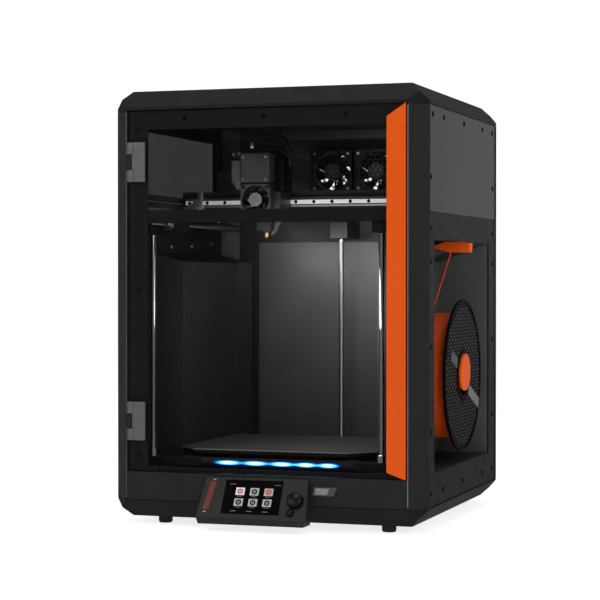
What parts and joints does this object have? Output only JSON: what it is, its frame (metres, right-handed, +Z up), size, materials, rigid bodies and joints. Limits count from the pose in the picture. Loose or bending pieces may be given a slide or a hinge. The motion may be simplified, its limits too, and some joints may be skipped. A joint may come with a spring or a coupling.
{
  "type": "fdm printer",
  "caption": "enclosed desktop filament 3-D printer: chamfered sheet-metal body, hinged glass door, lifting bed, belt-driven head, slanted screen unit and side spool recess",
  "frame": {"origin": "on the floor, under the middle of the overall box", "axes": "+X to the right of someone facing the door, +Y to the back, +Z up; the door faces -Y"},
  "size_m": [0.415, 0.444, 0.555],
  "materials": {
    "black_sheet": "satin black powder coat",
    "black_plastic": "fine texture",
    "smoked": "smoked, glossy",
    "clear_glass": "clear",
    "orange": "satin orange",
    "steel": "ground",
    "brass": "machined",
    "grey": "satin grey",
    "perforated": "thin perforated case round a light supply",
    "rubber": "moulded",
    "spring_sheet": "textured powder coat on spring steel",
    "board": "solder mask green"
  },
  "bodies": {
    "case": {"base_pan": "black_sheet", "chamber_floor": "black_sheet", "control_board": "board", "door_frame": "black_sheet", "filament_guide": "orange", "filament_strand": "orange", "foot_front_left": "rubber", "foot_front_right": "rubber", "foot_rear_left": "rubber", "foot_rear_right": "rubber", "front_lower_panel": "black_sheet", "left_inner_cover": "black_sheet", "left_side_panel": "black_sheet", "left_window": "smoked", "post_front_left": "black_sheet", "post_front_right": "black_sheet", "power_inlet": "black_plastic", "power_supply": "perforated", "rear_fan_housing": "black_plastic", "rear_shell": "black_sheet", "right_side_panel": "black_sheet", "right_window": "smoked", "screen_housing": "black_plastic", "spool_holder": "orange", "spool_recess": "black_sheet", "top_frame": "black_sheet", "top_panel": "black_sheet", "touchscreen": "black_plastic", "xy_motor_left": "black_plastic", "xy_motor_right": "black_plastic", "y_rod_left": "steel", "y_rod_right": "steel", "z_motor_left": "black_plastic", "z_motor_rear": "black_plastic", "z_motor_right": "black_plastic", "z_rod_left": "steel", "z_rod_right": "steel"},
    "door": {"door_glass": "clear_glass", "door_handle": "orange", "hinge_upper": "grey", "hinge_lower": "grey"},
    "bed": {"bed_frame": "black_sheet", "print_bed": "spring_sheet"},
    "gantry": {"gantry_beam": "black_sheet", "x_rail": "steel"},
    "head": {"print_head": "black_plastic", "nozzle": "brass"},
    "head_fan": {"head_fan_rotor": "black_plastic"},
    "spool": {"filament_spool": "black_plastic", "filament_winding": "orange"},
    "screw_left": {"lead_screw_left": "steel"},
    "screw_right": {"lead_screw_right": "steel"},
    "screw_rear": {"lead_screw_rear": "steel"},
    "pulley_left": {"drive_pulley_left": "steel"},
    "pulley_right": {"drive_pulley_right": "steel"},
    "rear_fan_left": {"rear_fan_rotor_left": "black_plastic"},
    "rear_fan_right": {"rear_fan_rotor_right": "black_plastic"},
    "knob": {"control_knob": "black_plastic"},
    "button": {"reset_button": "black_plastic"},
    "switch": {"power_switch": "black_plastic"}
  },
  "joints": [
    {"name": "door_hinge", "type": "hinge", "parent": "case", "child": "door", "pos_m": [-0.181, -0.193, 0.3], "axis": [0, 0, -1], "range_deg": [0, 110]},
    {"name": "bed_z", "type": "slide", "parent": "case", "child": "bed", "axis": [0, 0, 1], "range_m": [0, 0.27]},
    {"name": "gantry_y", "type": "slide", "parent": "case", "child": "gantry", "axis": [0, 1, 0], "range_m": [-0.066, 0.152]},
    {"name": "head_x", "type": "slide", "parent": "gantry", "child": "head", "axis": [1, 0, 0], "range_m": [-0.09, 0.154]},
    {"name": "head_fan_spin", "type": "hinge", "parent": "head", "child": "head_fan", "pos_m": [-0.044, -0.098, 0.4175], "axis": [0, -1, 0], "continuous": true},
    {"name": "spool_spin", "type": "hinge", "parent": "case", "child": "spool", "pos_m": [0.17, 0.029, 0.187], "axis": [1, 0, 0], "continuous": true},
    {"name": "screw_left_spin", "type": "hinge", "parent": "case", "child": "screw_left", "pos_m": [-0.18, -0.153, 0.2], "axis": [0, 0, 1], "range_deg": [-1, 12160]},
    {"name": "screw_right_spin", "type": "hinge", "parent": "case", "child": "screw_right", "pos_m": [0.156, -0.153, 0.2], "axis": [0, 0, 1], "range_deg": [-1, 12160]},
    {"name": "screw_rear_spin", "type": "hinge", "parent": "case", "child": "screw_rear", "pos_m": [-0.012, 0.173, 0.2], "axis": [0, 0, 1], "range_deg": [-1, 12160]},
    {"name": "pulley_left_spin", "type": "hinge", "parent": "case", "child": "pulley_left", "pos_m": [-0.18, 0.182, 0.416], "axis": [0, 0, 1], "range_deg": [-1600, 1600]},
    {"name": "pulley_right_spin", "type": "hinge", "parent": "case", "child": "pulley_right", "pos_m": [0.156, 0.182, 0.416], "axis": [0, 0, 1], "range_deg": [-1600, 1600]},
    {"name": "rear_fan_left_spin", "type": "hinge", "parent": "case", "child": "rear_fan_left", "pos_m": [-0.034, 0.197, 0.47], "axis": [0, 1, 0], "continuous": true},
    {"name": "rear_fan_right_spin", "type": "hinge", "parent": "case", "child": "rear_fan_right", "pos_m": [0.032, 0.197, 0.47], "axis": [0, 1, 0], "continuous": true},
    {"name": "knob_turn", "type": "hinge", "parent": "case", "child": "knob", "pos_m": [0.047, -0.20922, 0.04072], "axis": [0, -0.8716, 0.4903], "continuous": true},
    {"name": "button_press", "type": "slide", "parent": "case", "child": "button", "axis": [0, 0.8716, -0.4903], "range_m": [0, 0.0015], "stiffness_N_per_m": 500},
    {"name": "switch_rock", "type": "hinge", "parent": "case", "child": "switch", "pos_m": [0.1375, 0.216, 0.049], "axis": [1, 0, 0], "range_deg": [0, 12]}
  ],
  "couplings": [
    {"joint": "screw_left_spin", "follows": "bed_z", "rad_per_m": 785.4},
    {"joint": "screw_right_spin", "follows": "bed_z", "rad_per_m": 785.4},
    {"joint": "screw_rear_spin", "follows": "bed_z", "rad_per_m": 785.4},
    {"joint": "pulley_left_spin", "follows": "gantry_y", "rad_per_m": 125},
    {"joint": "pulley_right_spin", "follows": "gantry_y", "rad_per_m": -125}
  ]
}
